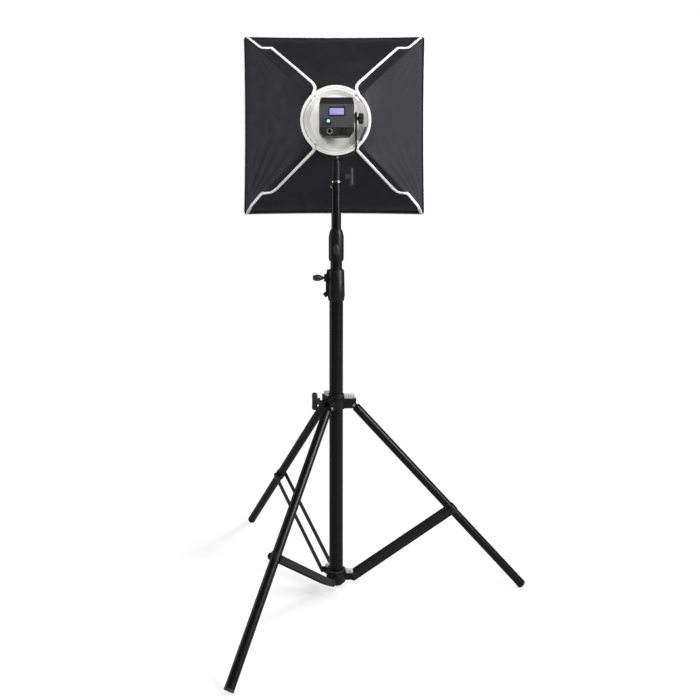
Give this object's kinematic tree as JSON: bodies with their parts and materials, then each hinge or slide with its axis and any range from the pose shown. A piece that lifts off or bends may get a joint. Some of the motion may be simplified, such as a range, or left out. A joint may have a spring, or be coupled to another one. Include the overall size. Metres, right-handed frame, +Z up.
{
  "type": "studio softbox",
  "caption": "Square pop-up softbox with a white front, on a small lamp head with a side yoke arm, on a folding telescopic light stand.",
  "frame": {"origin": "centre of the flat base of the column, on the column axis, 16 mm above the floor that the feet stand on", "axes": "+Z up the column, +Y the way the lamp shines, +X to the side of the yoke arm"},
  "size_m": [0.7479, 0.8476, 1.4555],
  "materials": {
    "gloss_black_tube": "glossy powder coat",
    "black_casting": "fine moulded texture",
    "black_strap": "satin paint",
    "black_knob": "moulded grip",
    "black_rubber": "matt rubber",
    "white_nylon": "natural nylon",
    "bright_steel": "turned and plated",
    "rib_rod": "spring steel",
    "lamp_shell": "fine spark texture",
    "lamp_controls": "satin moulding",
    "display": "lit display behind a clear window",
    "heat_sink_metal": "bare extrusion",
    "circuit_board": "solder mask",
    "light_source": "phosphor disc on a ceramic board",
    "mount_metal": "satin black anodised look",
    "cream_ring": "moulded, slightly glossy",
    "lever_metal": "dark plated",
    "black_cloth": "coated nylon, black outside",
    "white_cloth": "translucent diffusion cloth"
  },
  "bodies": {
    "stand_base": {"column_tube": "gloss_black_tube", "column_base_cap": "black_rubber", "base_collar": "black_casting", "base_bush_a": "black_casting", "base_bush_b": "black_casting", "base_bush_c": "black_casting", "lower_clamp_collar": "black_casting", "lower_clamp_bolt": "black_knob"},
    "leg_carriage": {"leg_collar": "black_casting", "leg_pivot_a": "bright_steel", "leg_pivot_b": "bright_steel", "leg_pivot_c": "bright_steel"},
    "leg_lock": {"leg_collar_knob": "black_knob"},
    "leg_a": {"leg_a": "gloss_black_tube", "leg_plug_a": "black_casting", "leg_clip_a": "black_casting", "foot_a": "black_rubber"},
    "leg_b": {"leg_b": "gloss_black_tube", "leg_plug_b": "black_casting", "leg_clip_b": "black_casting", "foot_b": "black_rubber"},
    "leg_c": {"leg_c": "gloss_black_tube", "leg_plug_c": "black_casting", "leg_clip_c": "black_casting", "foot_c": "black_rubber"},
    "brace_a": {"brace_a": "black_strap"},
    "brace_b": {"brace_b": "black_strap"},
    "brace_c": {"brace_c": "black_strap"},
    "lower_lock": {"lower_clamp_knob": "black_knob"},
    "middle_section": {"middle_tube": "gloss_black_tube", "middle_tube_slider": "white_nylon", "upper_clamp_collar": "black_casting"},
    "upper_lock": {"upper_clamp_knob": "black_knob"},
    "upper_section": {"upper_tube": "gloss_black_tube", "spigot": "bright_steel", "spigot_screw": "bright_steel"},
    "yoke": {"yoke_socket": "black_strap", "yoke_arm": "black_strap"},
    "socket_lock": {"socket_handle": "black_knob"},
    "tilt_lock": {"tilt_knob": "black_knob"},
    "lamp": {"tilt_washer": "bright_steel", "lamp_housing": "lamp_shell", "lamp_rear_panel": "lamp_shell", "display_window": "display", "dc_socket": "bright_steel", "heat_sink": "heat_sink_metal", "driver_board": "circuit_board", "led_module": "light_source", "lamp_front_ring": "mount_metal"},
    "dial": {"control_dial": "lamp_controls"},
    "switch": {"power_switch": "lamp_controls"},
    "fan": {"fan_rotor": "lamp_controls"},
    "softbox": {"speedring": "cream_ring", "softbox_cover": "black_cloth", "front_diffuser": "white_cloth", "rib_top_right": "rib_rod", "rib_top_left": "rib_rod", "rib_bottom_left": "rib_rod", "rib_bottom_right": "rib_rod"},
    "lever": {"release_lever": "lever_metal"}
  },
  "joints": [
    {"name": "leg_fold", "type": "slide", "parent": "stand_base", "child": "leg_carriage", "axis": [0, 0, 1], "range_m": [0, 0.228]},
    {"name": "leg_hinge_a", "type": "hinge", "parent": "leg_carriage", "child": "leg_a", "pos_m": [0.04399, 0.00115, 0.46], "axis": [-0.0262, 0.9997, 0], "range_deg": [0, 36.01]},
    {"name": "leg_hinge_b", "type": "hinge", "parent": "leg_carriage", "child": "leg_b", "pos_m": [-0.02299, 0.03752, 0.46], "axis": [-0.8526, -0.5225, 0], "range_deg": [0, 36.01]},
    {"name": "leg_hinge_c", "type": "hinge", "parent": "leg_carriage", "child": "leg_c", "pos_m": [-0.02099, -0.03867, 0.46], "axis": [0.8788, -0.4772, 0], "range_deg": [0, 36.01]},
    {"name": "brace_hinge_a", "type": "hinge", "parent": "stand_base", "child": "brace_a", "pos_m": [0.04399, 0.00115, 0.02], "axis": [0.0262, -0.9997, 0], "range_deg": [0, 48.02]},
    {"name": "brace_hinge_b", "type": "hinge", "parent": "stand_base", "child": "brace_b", "pos_m": [-0.02299, 0.03752, 0.02], "axis": [0.8526, 0.5225, 0], "range_deg": [0, 48.02]},
    {"name": "brace_hinge_c", "type": "hinge", "parent": "stand_base", "child": "brace_c", "pos_m": [-0.02099, -0.03867, 0.02], "axis": [-0.8788, 0.4772, 0], "range_deg": [0, 48.02]},
    {"name": "leg_lock_turn", "type": "hinge", "parent": "leg_carriage", "child": "leg_lock", "pos_m": [-0.043, 0, 0.467], "axis": [-1, 0, 0], "range_deg": [0, 270]},
    {"name": "middle_extend", "type": "slide", "parent": "stand_base", "child": "middle_section", "axis": [0, 0, 1], "range_m": [-0.02, 0.6]},
    {"name": "lower_lock_turn", "type": "hinge", "parent": "stand_base", "child": "lower_lock", "pos_m": [-0.048, 0, 0.783], "axis": [-1, 0, 0], "range_deg": [0, 270]},
    {"name": "upper_extend", "type": "slide", "parent": "middle_section", "child": "upper_section", "axis": [0, 0, 1], "range_m": [-0.1, 0.6]},
    {"name": "upper_lock_turn", "type": "hinge", "parent": "middle_section", "child": "upper_lock", "pos_m": [0, -0.042, 0.8585], "axis": [0, -1, 0], "range_deg": [0, 270]},
    {"name": "pan", "type": "hinge", "parent": "upper_section", "child": "yoke", "pos_m": [0, 0, 1.05], "axis": [0, 0, 1], "continuous": true},
    {"name": "socket_lock_turn", "type": "hinge", "parent": "yoke", "child": "socket_lock", "pos_m": [0.024, 0, 1.041], "axis": [1, 0, 0], "range_deg": [0, 270]},
    {"name": "tilt", "type": "hinge", "parent": "yoke", "child": "lamp", "pos_m": [0, 0, 1.1895], "axis": [1, 0, 0], "range_deg": [-20, 90]},
    {"name": "tilt_lock_turn", "type": "hinge", "parent": "yoke", "child": "tilt_lock", "pos_m": [0.063, 0, 1.1895], "axis": [1, 0, 0], "range_deg": [0, 270]},
    {"name": "dial_turn", "type": "hinge", "parent": "lamp", "child": "dial", "pos_m": [-0.021, -0.0575, 1.1765], "axis": [0, -1, 0], "continuous": true},
    {"name": "switch_rock", "type": "hinge", "parent": "lamp", "child": "switch", "pos_m": [0.021, -0.05075, 1.1535], "axis": [1, 0, 0], "range_deg": [0, 14]},
    {"name": "fan_spin", "type": "hinge", "parent": "lamp", "child": "fan", "pos_m": [0, -0.03, 1.1895], "axis": [0, 1, 0], "continuous": true},
    {"name": "softbox_spin", "type": "hinge", "parent": "lamp", "child": "softbox", "pos_m": [0, 0.058, 1.1895], "axis": [0, 1, 0], "continuous": true},
    {"name": "lever_swing", "type": "hinge", "parent": "softbox", "child": "lever", "pos_m": [0.0645, 0.056, 1.1375], "axis": [0, 1, 0], "range_deg": [-35, 0]}
  ],
  "couplings": [
    {"joint": "leg_hinge_a", "follows": "leg_fold", "rad_per_m": 2.756},
    {"joint": "leg_hinge_b", "follows": "leg_fold", "rad_per_m": 2.756},
    {"joint": "leg_hinge_c", "follows": "leg_fold", "rad_per_m": 2.756},
    {"joint": "brace_hinge_a", "follows": "leg_fold", "rad_per_m": 3.6754},
    {"joint": "brace_hinge_b", "follows": "leg_fold", "rad_per_m": 3.6754},
    {"joint": "brace_hinge_c", "follows": "leg_fold", "rad_per_m": 3.6754}
  ]
}
